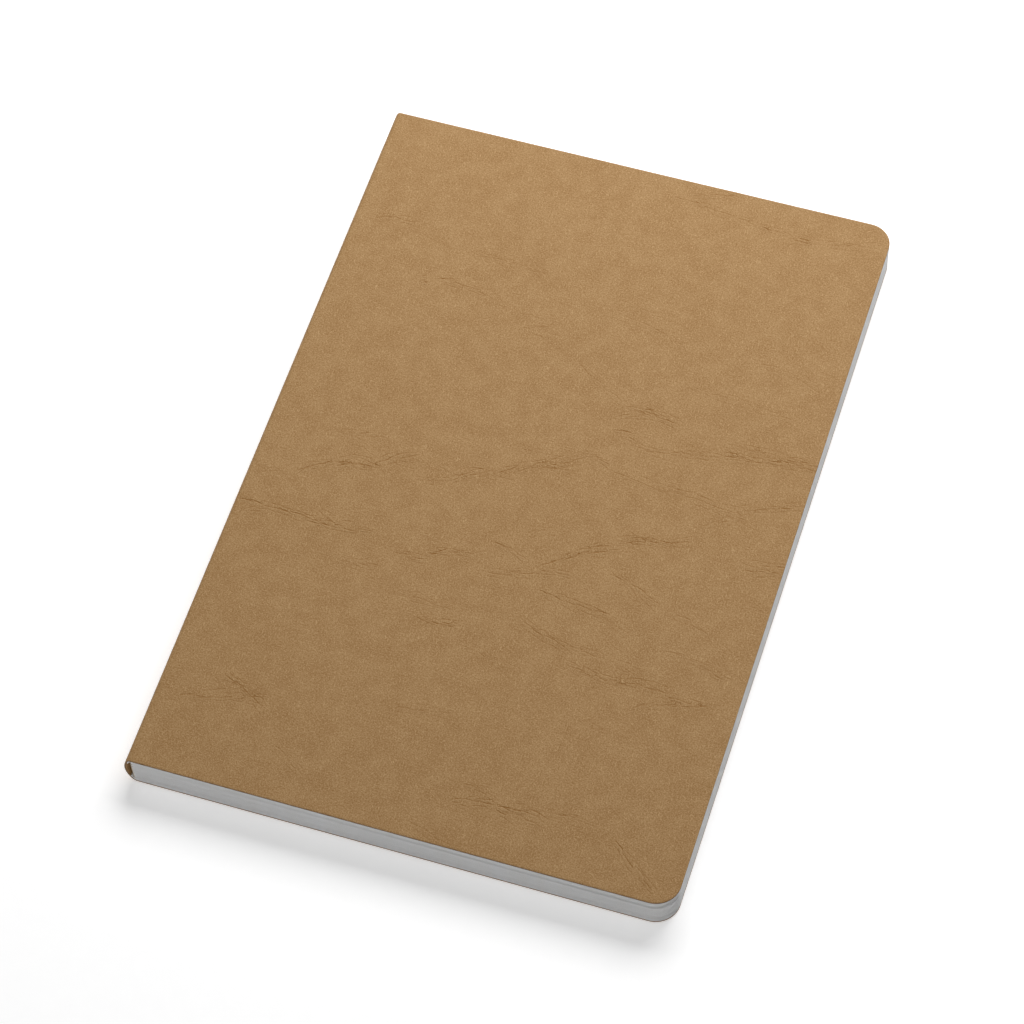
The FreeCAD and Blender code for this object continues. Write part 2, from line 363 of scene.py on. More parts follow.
def thread_finish(colours):
    """Waxed linen: fine hairs that lie round the thread."""
    finish = Finish("thread")
    place = finish.place()
    hairs = finish.noise(finish.stretched(finish.turned(place, 40), 3.0, 14.0, 3.0), 1.0, 3.0, 0.6)
    colour = finish.mix(finish.step(hairs, 0.35, 0.65), toned(colours.thread, 0.82),
                        shade(colours.thread, 1.05))
    return finish.close(colour, 0.62 + hairs * 0.2, hairs, 0.01 * MM,
                        {"Specular IOR Level": 0.35, "Sheen Weight": 0.2})


def in_place(finish):
    """Where a point of a carried-over node lies, in mm."""
    coordinates = finish.node("TexCoord", {}, {}, "Object")
    return finish.stretched(coordinates, 1 / MM, 1 / MM, 1 / MM)


def glue_finish(colours):
    """Dried glue: uneven pools, dragged by the brush."""
    finish = Finish("glue")
    place = in_place(finish)
    pools = finish.noise(place, 0.8, 3.0, 0.55)
    drag = finish.noise(finish.stretched(place, 3.0, 0.25, 3.0), 1.0, 3.0, 0.6)
    colour = finish.mix(finish.step(pools, 0.35, 0.65), toned(colours.glue, 0.84), shade(colours.glue, 1.05))
    return finish.close(colour, 0.36 + pools * 0.25, drag * 0.6 + pools * 0.4, 0.06 * MM,
                        {"Specular IOR Level": 0.5})


WEAVE_TURN = 11.0    # radians of the weave's wave in each mm, for threads 0.29 mm apart


def lining_finish(colours):
    """Open weave: warp and weft threads in a checked over-and-under, with slubs."""
    finish = Finish("lining")
    place = in_place(finish)
    warp = (finish.split(place, 1) * WEAVE_TURN).sine()
    weft = (finish.split(place, 2) * WEAVE_TURN).sine()
    weave = warp * weft * 0.5 + 0.5
    slub = finish.noise(finish.stretched(place, 1.0, 0.3, 3.0), 1.0, 3.0, 0.6)
    colour = finish.mix(weave, toned(colours.lining, 0.68), shade(colours.lining, 1.04))
    colour = finish.mix(finish.step(slub, 0.5, 0.7) * 0.3, colour, toned(colours.lining, 0.85))
    return finish.close(colour, 0.85 + slub * 0.1, weave * 0.8 + slub * 0.2, 0.08 * MM,
                        {"Specular IOR Level": 0.2})


FLOOR_GLOW = 0.52    # light from the floor's own surface, which softens the shadow


def floor_finish(colours):
    """The floor: nearly even and white, with a fine grain."""
    finish = Finish("studio_floor")
    coordinates = finish.node("TexCoord", {}, {}, "Object")
    grain = finish.noise(coordinates, 260.0, 3.0, 0.6)
    colour = finish.mix(finish.step(grain, 0.3, 0.7), shade(colours.floor, 0.99), shade(colours.floor, 1.01))
    constants = {"Specular IOR Level": 0.1, "Emission Color": (1.0, 1.0, 1.0, 1.0),
                 "Emission Strength": FLOOR_GLOW}
    return finish.close(colour, 0.85 + grain * 0.1, grain, 0.02 * MM, constants)


# ---------------------------------------------------------------- the book's geometry

class Book:
    """Places in the closed book, worked out from the frame and the sizes, in metres."""

    def __init__(self, sizes):
        self.sizes = sizes
        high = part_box("front_cover")[1]
        self.top = high.z
        self.fore = high.x
        self.half_height = high.y
        self.edge = self.fore - sizes.cover_width
        self.bulge_z = self.top / 2 + sizes.bulge_above_middle
        depth = sizes.spine_bulge + sizes.spine_tuck
        self.bow_radius = (self.bulge_z ** 2 + depth ** 2) / (2 * depth)
        self.bow_centre = (self.edge + self.bow_radius - sizes.spine_bulge, self.bulge_z)
        front_radius = sizes.front_crease_radius
        self.front_crease = self.crease_centre(front_radius, self.top - front_radius)
        self.back_crease = self.crease_centre(sizes.back_crease_radius, sizes.back_crease_radius)

    def crease_centre(self, radius, height):
        """Centre of the bend that is tangent to the bow and to a flat at its own radius away."""
        rise = height - self.bow_centre[1]
        run = math.sqrt((self.bow_radius - radius) ** 2 - rise ** 2)
        return (self.bow_centre[0] - run, height)

    def crease_angle(self, crease):
        """Direction from the bow's centre through a crease's centre, in degrees."""
        turn = math.atan2(crease[1] - self.bow_centre[1], crease[0] - self.bow_centre[0])
        return math.degrees(turn) % 360

    def bow_angle(self, height):
        """Direction from the bow's centre to its card at a height, in degrees."""
        return 180 - math.degrees(math.asin((height - self.bow_centre[1]) / self.bow_radius))

    def reach(self, x, trim=0.0):
        """Half of a leaf's height at each distance across: less where the corners are rounded."""
        radius = self.sizes.corner_radius
        into_corner = np.clip(x - (self.fore - trim - radius), 0, radius)
        return self.half_height - trim - radius + np.sqrt(radius ** 2 - into_corner ** 2)


class Section:
    """A path across the book, seen from the tail. It runs with the outside on its right."""

    def __init__(self):
        self.stations = []

    def add(self, x, z, out_x, out_z):
        if self.stations and math.hypot(x - self.stations[-1][0], z - self.stations[-1][1]) < 1e-7:
            return
        self.stations.append((x, z, out_x, out_z))

    def flat(self, across, z, outward):
        for x in across:
            self.add(x, z, 0.0, outward)
        return self

    def arc(self, centre, radius, start, end, steps):
        for turn in np.radians(np.linspace(start, end, steps + 1)):
            self.add(centre[0] + radius * math.cos(turn), centre[1] + radius * math.sin(turn),
                     math.cos(turn), math.sin(turn))
        return self

    def rows(self):
        return np.array(self.stations)


def panel_rows(book, inner_x, spacing, corner_steps, trim=0.0):
    """Distances across from the fore-edge to the spine, close together round the corners."""
    radius = book.sizes.corner_radius
    start = book.fore - trim - radius
    corner = start + radius * np.cos(np.radians(np.linspace(0, 90, corner_steps + 1)))
    count = max(1, round((start - inner_x) / spacing))
    return np.concatenate([corner, np.linspace(start, inner_x, count + 1)[1:]])


def path_run(rows, end_is_fore_edge, width):
    """Distance of each row from the edge line at the spine, measured along the sheet."""
    steps = np.hypot(np.diff(rows[:, 0]), np.diff(rows[:, 1]))
    run = np.concatenate([[0], np.cumsum(steps)])
    return width - (run[-1] - run if end_is_fore_edge else run)


def surface(rows, run, depth, columns, reach, relief=None):
    """One face of a sheet as a grid: rows along its section, columns from tail to head."""
    x, z, out_x, out_z = (part[:, None] for part in rows.T)
    x = x - depth * out_x
    z = z - depth * out_z
    y = reach(x) * columns[None, :]
    lift = np.zeros(y.shape) if relief is None else relief(run[:, None] + 0 * y, y)
    points = np.stack([x + lift * out_x, y, z + lift * out_z], -1)
    sheet = np.stack([run[:, None] + 0 * y, y, depth + 0 * y], -1) / MM
    return points, sheet


def grid_faces(first, shape, outward):
    """Quads over a grid of points, numbered from first."""
    index = first + np.arange(shape[0] * shape[1]).reshape(shape)
    quads = np.stack([index[:-1, :-1], index[:-1, 1:], index[1:, 1:], index[1:, :-1]], -1)
    quads = quads.reshape(-1, 4)
    return (quads if outward else quads[:, ::-1]).tolist()


def joined_edges(near, near_at, far, far_at, flip):
    """Triangles between two lines of points that run side by side."""
    faces = []
    i = j = 0
    while i < len(near) - 1 or j < len(far) - 1:
        take_near = j == len(far) - 1 or (
            i < len(near) - 1 and near_at[i] + near_at[i + 1] <= far_at[j] + far_at[j + 1])
        if take_near:
            face = [near[i], near[i + 1], far[j]]
            i += 1
        else:
            face = [near[i], far[j + 1], far[j]]
            j += 1
        faces.append(face[::-1] if flip else face)
    return faces


def add_object(name, points, faces, materials, material_of, smooth_of, attributes):
    """A mesh object from plain data, with its point attributes."""
    mesh = bpy.data.meshes.new(name)
    mesh.from_pydata(points.tolist(), [], faces)
    for material in materials:
        mesh.materials.append(material)
    mesh.polygons.foreach_set("material_index", material_of)
    mesh.polygons.foreach_set("use_smooth", smooth_of)
    for title, values in attributes.items():
        layer = mesh.attributes.new(title, "FLOAT_VECTOR", "POINT")
        layer.data.foreach_set("vector", np.asarray(values, np.float32).ravel())
    mesh.update()
    if mesh.validate():
        raise RuntimeError(name + " has faults in its mesh")
    piece = bpy.data.objects.new(name, mesh)
    bpy.context.scene.collection.objects.link(piece)
    return piece


def make_sheet(name, outer, inner, materials, outer_fields=None):
    """A thin closed sheet from its two faces. Each is (points, sheet places, row and column places)."""
    out_points, out_sheet, out_rows, out_columns = outer
    in_points, in_sheet, in_rows, in_columns = inner
    out_shape, in_shape = out_points.shape[:2], in_points.shape[:2]
    count = out_shape[0] * out_shape[1]
    out_index = np.arange(count).reshape(out_shape)
    in_index = count + np.arange(in_shape[0] * in_shape[1]).reshape(in_shape)
    faces = grid_faces(0, out_shape, True) + grid_faces(count, in_shape, False)
    faces_on_sides = len(faces)
    sides = [
        (out_index[:, 0], out_rows, in_index[:, 0], in_rows, False),
        (out_index[:, -1], out_rows, in_index[:, -1], in_rows, True),
        (out_index[0], out_columns, in_index[0], in_columns, True),
        (out_index[-1], out_columns, in_index[-1], in_columns, False),
    ]
    for near, near_at, far, far_at, flip in sides:
        faces += joined_edges(near.tolist(), near_at, far.tolist(), far_at, flip)
    faces_on_rim = len(faces) - faces_on_sides
    points = np.concatenate([out_points.reshape(-1, 3), in_points.reshape(-1, 3)])
    attributes = {"sheet_mm": np.concatenate([out_sheet.reshape(-1, 3), in_sheet.reshape(-1, 3)])}
    blank = np.zeros((in_shape[0] * in_shape[1], 3))
    for title, values in (outer_fields or {}).items():
        attributes[title] = np.concatenate([values.reshape(-1, 3), blank])
    material_of = [0] * faces_on_sides + [1] * faces_on_rim
    smooth_of = [True] * faces_on_sides + [False] * faces_on_rim
    return add_object(name, points, faces, materials, material_of, smooth_of, attributes)


CORNER_REACH = (95, 38)    # how far the open tail corner spreads across and up, in mm
SLIP_DEPTH = 0.8 * MM      # how far down from the gap the pages slip


def corner_share(book, x, y):
    """1 at the fore-edge corner of the tail, where the pages stand apart, falling to 0 around it."""
    far = np.hypot((x - book.fore) / MM / CORNER_REACH[0], (y + book.half_height) / MM / CORNER_REACH[1])
    return np.clip(1 - far, 0, 1) ** 1.5


def part_corner(book, points):
    """Lift the first signature with the cover at the tail corner, and let the pages under it sink."""
    share = corner_share(book, points[..., 0], points[..., 1])
    height = points[..., 2]
    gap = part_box("signature_2_sheet_1")[1].z
    rise = np.where(height > gap, book.sizes.cover_lift, -book.sizes.block_sag * height / gap)
    near_gap = np.clip(1 - np.abs(gap - height) / SLIP_DEPTH, 0, 1) * (height < gap)
    slip = share * book.sizes.block_slip * near_gap
    return points + np.stack([-slip / 2, slip, share * rise], -1)


def leaf_sheet(name, book, rows, thickness, columns, materials, trim, shave, end_is_fore_edge):
    """A plain sheet of paper along a section, a little thinner than its room."""
    run = path_run(rows, end_is_fore_edge, book.sizes.cover_width)
    at = np.linspace(0, 1, len(rows))
    reach = lambda x: book.reach(x, trim)
    faces = []
    for depth in (shave, thickness - shave):
        points, places = surface(rows, run, depth, columns, reach)
        faces.append((part_corner(book, points), places, at, columns))
    return make_sheet(name, faces[0], faces[1], materials)


# ---------------------------------------------------------------- the card cover

# Handling creases of the front cover: where each starts and ends, in mm from the spine and from
# the tail, how far it bows to its left, and how deep it is.
FRONT_CREASES = (
    ((2, 89), (9, 91.5), 0.2, 0.5),
    ((12, 92), (25, 98.6), 0.7, 1.0),
    ((21, 95.4), (29, 97.7), 0.7, 0.8),
    ((23, 100.2), (31, 99), 0.3, 0.7),
    ((30, 98.9), (40, 104.8), 0.3, 0.8),
    ((15, 105.4), (30, 107.5), 0.5, 0.5),
    ((40, 96.4), (50, 100), 0.3, 0.5),
    ((46, 104), (54, 102.4), -0.2, 0.5),
    ((51, 100.4), (57, 104.2), 0.2, 0.8),
    ((54, 105.4), (63, 105), 0.1, 0.6),
    ((60, 105), (79, 115), 0.3, 0.8),
    ((66, 107.6), (77, 112.4), 0.3, 0.7),
    ((1, 79.7), (22, 79), 0.2, 0.9),
    ((19, 78.6), (35, 79.8), -0.3, 0.9),
    ((2, 75), (7, 77), 0.4, 0.6),
    ((18, 84.5), (25, 80.6), -0.3, 0.4),
    ((44, 75.4), (50, 76), -0.1, 0.8),
    ((52, 78), (61, 80.3), 0.4, 0.9),
    ((32, 69.9), (40, 71), -0.3, 0.7),
    ((67, 86.5), (74, 83.6), 0.3, 0.8),
    ((68, 76.7), (76, 78.9), -0.1, 0.8),
    ((74, 90.8), (80, 92.4), 0.3, 0.6),
    ((81, 81.4), (86, 81.8), 0.1, 0.9),
    ((80, 82), (91, 89.6), 0.6, 0.8),
    ((90, 91), (98, 93), 0.2, 0.8),
    ((96, 95.2), (114, 99.6), -0.3, 0.8),
    ((99, 99.2), (111, 98.4), -1.2, 0.8),
    ((98, 86.6), (110, 80.2), 0.4, 0.7),
    ((116, 105), (121, 108.6), 0.2, 0.5),
    ((82, 76), (98, 73.6), -0.3, 0.9),
    ((97, 73.6), (105, 70.8), 0.2, 0.5),
    ((117, 78.6), (124, 76.4), 0.1, 0.5),
    ((129, 98), (140, 99.6), -0.2, 0.9),
    ((130, 96.2), (140, 97.8), -0.3, 0.8),
    ((128, 75), (133, 71.4), 0.0, 0.5),
    ((81, 117.6), (86, 117.2), 0.4, 0.9),
    ((90, 114.7), (106, 113), 0.2, 0.7),
    ((105, 113.6), (126, 110.6), 0.5, 0.8),
    ((123, 112.4), (137, 117.8), -0.2, 0.8),
    ((72, 144.4), (86, 136), 0.2, 0.5),
    ((87, 135), (101, 133.8), 0.4, 1.0),
    ((90, 134.9), (96, 134.6), 0.2, 0.7),
    ((86, 131.2), (93, 133.5), 0.3, 0.7),
    ((86, 127), (92, 126), 0.3, 0.7),
    ((91, 124.2), (104, 124.2), -0.4, 0.7),
    ((103, 125.4), (118, 127.8), -0.5, 0.8),
    ((116, 129.6), (125, 129), -0.7, 0.9),
    ((117, 131.4), (130, 131.2), 0.3, 0.6),
    ((129, 131), (138, 132), -0.2, 1.0),
    ((125, 129), (140, 130.2), 0.1, 0.8),
    ((100, 145), (129, 143.6), 0.5, 0.5),
    ((81, 66.2), (93, 61.8), -0.3, 1.0),
    ((92, 62), (100, 61.8), 0.2, 0.6),
    ((95, 57.2), (114, 56.8), -1.1, 0.9),
    ((107, 61), (117, 59), 0.1, 0.5),
    ((112, 57), (129, 55.4), -0.1, 0.8),
    ((112, 48.4), (131, 55.4), 0.5, 0.7),
    ((117, 67.6), (132, 65.2), 0.4, 0.6),
    ((69, 54.6), (81, 52.2), 0.3, 0.5),
    ((55, 59.3), (64.5, 60), -0.5, 0.8),
    ((47, 64.8), (59, 64.1), 0.3, 0.5),
    ((6, 21), (25, 25.2), 0.3, 0.8),
    ((15, 30.4), (25, 25), 0.3, 0.8),
    ((33, 15), (42, 9.4), -0.2, 0.5),
    ((59, 33.2), (70, 35), 0.2, 0.5),
    ((80, 13.2), (92, 13.4), 0.7, 1.0),
    ((91, 14), (102, 13.8), 0.5, 0.9),
    ((81, 17.6), (88, 15.8), 0.2, 0.6),
    ((99, 15.8), (114, 15.7), 0.4, 0.5),
    ((121, 13.8), (133, 4), -0.2, 1.0),
    ((71, 4.6), (81, 1.4), 0.2, 0.6),
    ((84, 205), (96, 209.4), -0.2, 0.6),
    ((80, 204.2), (118, 200.2), -0.5, 0.7),
    ((114, 198.8), (133, 202), -0.5, 0.6),
    ((6, 174.6), (14, 175.8), 0.3, 0.6),
    ((33, 171), (52, 168.8), 0.3, 0.5),
    ((27, 159.8), (40, 159.2), 0.1, 0.6),
    ((23.8, 158), (25.3, 158.4), 0.1, 1.4),
    ((54, 151.2), (61, 151.6), 0.3, 0.6),
    ((80, 162.6), (88, 160.8), 0.2, 0.6),
)

CREASE_REACH = 1.3     # mm to each side over which a crease is felt
CREASE_CHANNELS = 3    # creases that come close together go to different channels
CREASE_FAR = 3.0       # mm to the side that stand for any place away from a crease
CREASE_TAPER = 0.25    # share of a crease's length over which it fades in and out
WANDER = 0.12          # mm to each side that a crease strays
WANDER_PACE = 1.1      # mm along it for each radian of that straying
CORNER_MARGIN = 4      # mm more from tail to head, because the grid narrows at the rounded corners
RIDGE_WIDTH = 0.62     # mm from a crease at which its ridge has mostly fallen off
SHOULDER_RISE, SHOULDER_REACH = 0.9, 1.9    # mm over which the card beside it rises, and settles
EDGE_WEAR = 0.45       # depth of the worn rounding of the card's edge as a share of its width


def bowed(bow, share):
    """How far a bowed line stands to its left of the straight one, at a share of its length."""
    return 4 * bow * share * (1 - share)


def scattered_creases(count, seed, deepest, low=(6, 6), high=(134, 204)):
    """Faint creases from handling, mostly across the cover."""
    draw = np.random.default_rng(seed)
    creases = []
    for _ in range(count):
        start = np.array([draw.uniform(low[0], high[0]), draw.uniform(low[1], high[1])])
        size = draw.uniform(6, 24)
        turn = math.radians(draw.normal(-2, 13))
        end = start + size * np.array([math.cos(turn), math.sin(turn)])
        creases.append((tuple(start), tuple(end), draw.uniform(-1, 1), deepest * draw.uniform(0.4, 1)))
    return tuple(creases)


def strands(creases, seed):
    """Each crease as a bundle of short cracks that overlap, wander and fade, with fainter ones beside."""
    draw = np.random.default_rng(seed)
    bundle = []
    for start, end, bow, deepest in creases:
        along = np.subtract(end, start)
        size = np.hypot(*along)
        heading = math.atan2(along[1], along[0])
        along = along / size
        beside = np.array([-along[1], along[0]])
        for offset, weight in ((0.0, 1.0), (draw.uniform(0.8, 1.3), 0.7), (draw.uniform(-1.4, -0.8), 0.6)):
            at = draw.uniform(0, 0.3) * size * abs(offset)
            while at < size:
                share = at / size
                piece = min(draw.uniform(2, 6.5), size)
                turn = heading + math.radians(draw.normal(0, 5)) + 4 * bow * (1 - 2 * share) / size
                lane = offset + draw.normal(0, 0.13) + bowed(bow, share)
                first = np.asarray(start) + along * at + beside * lane
                last = first + piece * np.array([math.cos(turn), math.sin(turn)])
                depth = weight * deepest * draw.uniform(0.6, 1.1)
                bundle.append((tuple(first), tuple(last), draw.uniform(-0.35, 0.35), depth))
                at += piece * draw.uniform(0.45, 0.95)
    return tuple(bundle)


def crease_fields(across, up, creases):
    """For each place, in mm: how far it is to the side of the creases near it, and their depths."""
    side = np.full(across.shape + (CREASE_CHANNELS,), CREASE_FAR)
    depth = np.zeros(across.shape + (CREASE_CHANNELS,))
    middle = up.shape[0] // 2
    for number, (start, end, bow, deepest) in enumerate(creases):
        low = np.minimum(start, end) - CREASE_FAR
        high = np.maximum(start, end) + CREASE_FAR
        rows = (across[:, 0] > low[0]) & (across[:, 0] < high[0])
        columns = (up[middle] > low[1] - CORNER_MARGIN) & (up[middle] < high[1] + CORNER_MARGIN)
        if not rows.any() or not columns.any():
            continue
        here = np.ix_(rows, columns)
        along = np.subtract(end, start)
        size = np.hypot(*along)
        along = along / size
        right, forward = across[here] - start[0], up[here] - start[1]
        share = (right * along[0] + forward * along[1]) / size
        wander = WANDER * np.sin(share * size / WANDER_PACE + number)
        away = forward * along[0] - right * along[1] - bowed(bow, share) - wander
        taper = np.clip(share / CREASE_TAPER, 0, 1) * np.clip((1 - share) / CREASE_TAPER, 0, 1)
        felt = deepest * taper * np.clip((CREASE_REACH - np.abs(away)) / (CREASE_REACH / 2), 0, 1)
        clashes = [np.sum(depth[here][..., channel] * felt) for channel in range(CREASE_CHANNELS)]
        channel = int(np.argmin(clashes))
        old_side, old_depth = side[..., channel][here], depth[..., channel][here]
        stronger = felt > old_depth
        side[..., channel][here] = np.where(stronger, np.clip(away, -CREASE_FAR, CREASE_FAR), old_side)
        depth[..., channel][here] = np.where(stronger, felt, old_depth)
    return side, depth


def edge_distance(book, run, y):
    """Distance of a place on a cover from its cut outline."""
    from_fore = book.sizes.cover_width - run
    from_end = book.half_height - np.abs(y)
    radius = book.sizes.corner_radius
    into = np.hypot(np.clip(radius - from_fore, 0, None), np.clip(radius - from_end, 0, None))
    in_corner = (from_fore < radius) & (from_end < radius)
    return np.where(in_corner, radius - into, np.minimum(from_fore, from_end))


def cover_sway(book, run, y):
    """How far the front cover stands off the pages: soft waves, and a lifted tail corner."""
    across, up = run / MM, (y + book.half_height) / MM
    calm = np.clip((across - 3) / 30, 0, 1) ** 2
    waves = 0.022 * (1 + np.sin(across / 17 + 0.6) * np.cos(up / 29 - 0.4))
    waves = waves + 0.012 * (1 + np.sin(across / 6.1 + up / 19))
    return calm * waves * MM + corner_share(book, book.edge + run, y) * book.sizes.cover_lift


def fine_columns(book, spacing):
    """Places from tail to head for the card: even, with a few close to each end."""
    count = round(2 * book.half_height / spacing)
    inside = np.linspace(-1, 1, count + 1)[1:-1]
    near = 1 - np.array([0.0, 0.25, 0.6, 1.0]) * book.sizes.edge_softness / book.half_height
    return np.concatenate([-near, inside, near[::-1]])


def every(count, step, keep=()):
    """Numbers of the rows in a coarser copy of a grid: each step's, the last, and those to keep."""
    return np.array([i for i in range(count) if i % step == 0 or i == count - 1 or i in keep])


INSIDE_STEP = 8           # the card's inside has one row of points for this many outside
CARD_CORNER_STEPS = 26    # rows of points round the card's corner


def card_half(name, book, rows, end_is_fore_edge, creases, crease_sign, sway, materials):
    """Half of the cover: dense outside for its creases, coarser inside."""
    sizes = book.sizes
    run = path_run(rows, end_is_fore_edge, sizes.cover_width)
    columns = fine_columns(book, sizes.card_mesh)
    up = columns[None, :] * book.reach(rows[:, 0])[:, None]
    across = run[:, None] + 0 * up
    side, depth = crease_fields(across / MM, (up + book.half_height) / MM, creases)
    ridges = (depth * np.exp(-(side / RIDGE_WIDTH) ** 2)).sum(-1)
    shoulders = (depth * np.tanh(side / SHOULDER_RISE) * np.exp(-(side / SHOULDER_REACH) ** 2)).sum(-1)

    def relief(run_grid, y):
        soft = np.clip(1 - edge_distance(book, run_grid, y) / sizes.edge_softness, 0, 1) ** 2
        worn = EDGE_WEAR * sizes.edge_softness * soft
        creased = crease_sign * sizes.crease_height * (ridges + 0.5 * shoulders)
        return sway(run_grid, y) + creased - worn

    at = np.arange(len(rows)) / (len(rows) - 1)
    curved = np.abs(rows[:, 3]) < 0.999
    in_corner = rows[:, 0] > book.fore - sizes.corner_radius
    kept_rows = every(len(rows), INSIDE_STEP, set(np.flatnonzero(curved | in_corner)))
    kept_columns = every(len(columns), INSIDE_STEP)
    outer = surface(rows, run, 0.0, columns, book.reach, relief) + (at, columns)
    inner = surface(rows[kept_rows], run[kept_rows], sizes.card_thickness, columns[kept_columns],
                    book.reach, sway) + (at[kept_rows], columns[kept_columns])
    fields = {"crease_side": side, "crease_depth": depth}
    return make_sheet(name, outer, inner, materials, fields)


def front_card_rows(book):
    """The front cover's outside, over the crease and down the spine to its fullest point."""
    sizes = book.sizes
    section = Section()
    panel = panel_rows(book, book.front_crease[0], sizes.card_mesh, CARD_CORNER_STEPS)
    section.flat(panel, book.top, 1.0)
    turn = book.crease_angle(book.front_crease)
    section.arc(book.front_crease, sizes.front_crease_radius, 90, turn, 16)
    section.arc(book.bow_centre, book.bow_radius, turn, 180 - 0.1, 24)
    section.arc(book.bow_centre, book.bow_radius, 180 - 0.1, 180, 1)
    return section.rows()


def back_card_rows(book):
    """From the spine's fullest point, round the back crease and out under the book."""
    sizes = book.sizes
    section = Section()
    turn = book.crease_angle(book.back_crease)
    section.arc(book.bow_centre, book.bow_radius, 180, 180 + 0.1, 1)
    section.arc(book.bow_centre, book.bow_radius, 180 + 0.1, turn, 26)
    section.arc(book.back_crease, sizes.back_crease_radius, turn, 270, 16)
    panel = panel_rows(book, book.back_crease[0], sizes.card_mesh, CARD_CORNER_STEPS)
    section.flat(panel[::-1], 0.0, -1.0)
    return section.rows()


def front_bend(book):
    """Start and end of the band that bends when the front cover opens."""
    start = (book.edge - book.sizes.spine_bulge, 0, book.top - 1.9 * MM)
    return start, (book.front_crease[0] + 0.3 * MM, 0, book.top + 0.2 * MM)


def back_bend(book):
    """Start and end of the band that bends when the block lifts off the back cover."""
    start = (book.edge - 0.35 * MM, 0, 3.2 * MM)
    return start, (book.back_crease[0] + 0.1 * MM, 0, -0.2 * MM)


class SKETCHBOOK_OT_cover(Operator):
    """Make the wrapped card cover, in two halves that meet along the spine's fullest line."""

    bl_idname = "sketchbook.cover"
    bl_label = "Card cover"

    def execute(self, context):
        book = Book(context.scene.sketchbook_sizes)
        colours = context.scene.sketchbook_colours
        materials = [kraft_card(colours), cut_card(colours)]
        front_creases = strands(FRONT_CREASES + scattered_creases(40, 11, 0.36), 7)
        back_creases = strands(scattered_creases(60, 23, 0.7), 31)
        front = card_half("front_cover_card", book, front_card_rows(book), False,
                          front_creases, 1, lambda run, y: cover_sway(book, run, y), materials)
        back = card_half("back_cover_card", book, back_card_rows(book), True,
                         back_creases, -1, lambda run, y: 0 * y, materials)
        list(front_bend(book))
        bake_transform(front)
        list(back_bend(book))
        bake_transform(back)
        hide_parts("front_cover", "spine_strip")
        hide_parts("back_cover")
        return {"FINISHED"}


# ---------------------------------------------------------------- endpapers

ENDPAPER_SPACING = 3 * MM     # between the rows of points across an endpaper
ENDPAPER_CORNER_STEPS = 16    # rows of points round its corner
ENDPAPER_COLUMNS = np.linspace(-1, 1, 71)
ENDPAPER_TRIM = 0.03 * MM     # how far inside the card's outline it is cut


class SKETCHBOOK_OT_endpapers(Operator):
    """Make the two folded endpapers: each pastedown and flyleaf meet at a fold inside the spine."""

    bl_idname = "sketchbook.endpapers"
    bl_label = "Endpapers"

    fold_drop: length("Fold drop", "How far below the cover's face the front endpaper is folded", 1.55 * MM)
    fold_rise: length("Fold rise", "How far above the table the back endpaper is folded", 1.9 * MM)

    def front_rows(self, book):
        section = Section()
        turn = book.crease_angle(book.front_crease)
        section.flat(panel_rows(book, book.front_crease[0], ENDPAPER_SPACING, ENDPAPER_CORNER_STEPS,
                                ENDPAPER_TRIM), book.top, 1.0)
        section.arc(book.front_crease, book.sizes.front_crease_radius, 90, turn, 16)
        section.arc(book.bow_centre, book.bow_radius, turn, book.bow_angle(book.top - self.fold_drop), 8)
        return section.rows()

    def back_rows(self, book):
        section = Section()
        turn = book.crease_angle(book.back_crease)
        section.arc(book.bow_centre, book.bow_radius, book.bow_angle(self.fold_rise), turn, 8)
        section.arc(book.back_crease, book.sizes.back_crease_radius, turn, 270, 16)
        panel = panel_rows(book, book.back_crease[0], ENDPAPER_SPACING, ENDPAPER_CORNER_STEPS,
                           ENDPAPER_TRIM)
        section.flat(panel[::-1], 0.0, -1.0)
        return section.rows()

    def layer(self, name, book, rows, depth, end_is_fore_edge, relief, materials):
        """One leaf of an endpaper, at a depth under the outside of the card."""
        run = path_run(rows, end_is_fore_edge, book.sizes.cover_width)
        at = np.linspace(0, 1, len(rows))
        reach = lambda x: book.reach(x, ENDPAPER_TRIM)
        outer, inner = (surface(rows, run, down, ENDPAPER_COLUMNS, reach, relief) + (at, ENDPAPER_COLUMNS)
                        for down in (depth, depth + book.sizes.endpaper_thickness))
        piece = make_sheet(name, outer, inner, materials)
        return piece

    def execute(self, context):
        book = Book(context.scene.sketchbook_sizes)
        tone = context.scene.sketchbook_colours.endpaper
        materials = [paper("endpaper", tone), paper_edge("endpaper_edge", tone)]
        sizes = book.sizes
        pasted = sizes.card_thickness
        free = pasted + sizes.endpaper_thickness + sizes.leaf_gap
        sway = lambda run, y: cover_sway(book, run, y)
        lift = lambda run, y: corner_share(book, book.edge + run, y) * sizes.cover_lift
        piece = self.layer("front_pastedown_paper", book, self.front_rows(book), pasted, False,
                           sway, materials)
        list(front_bend(book))
        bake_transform(piece)
        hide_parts("front_pastedown")
        piece = self.layer("front_flyleaf_paper", book, self.front_rows(book), free, False,
                           lift, materials)
        book.front_crease[0] + 0.4 * MM
        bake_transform(piece)
        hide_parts("front_flyleaf")
        piece = self.layer("back_pastedown_paper", book, self.back_rows(book), pasted, True,
                           None, materials)
        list(back_bend(book))
        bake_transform(piece)
        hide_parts("back_pastedown")
        piece = self.layer("back_flyleaf_paper", book, self.back_rows(book), free, True,
                           None, materials)
        book.back_crease[0] + 0.4 * MM
        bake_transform(piece)
        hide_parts("back_flyleaf")
        return {"FINISHED"}


# ---------------------------------------------------------------- signatures

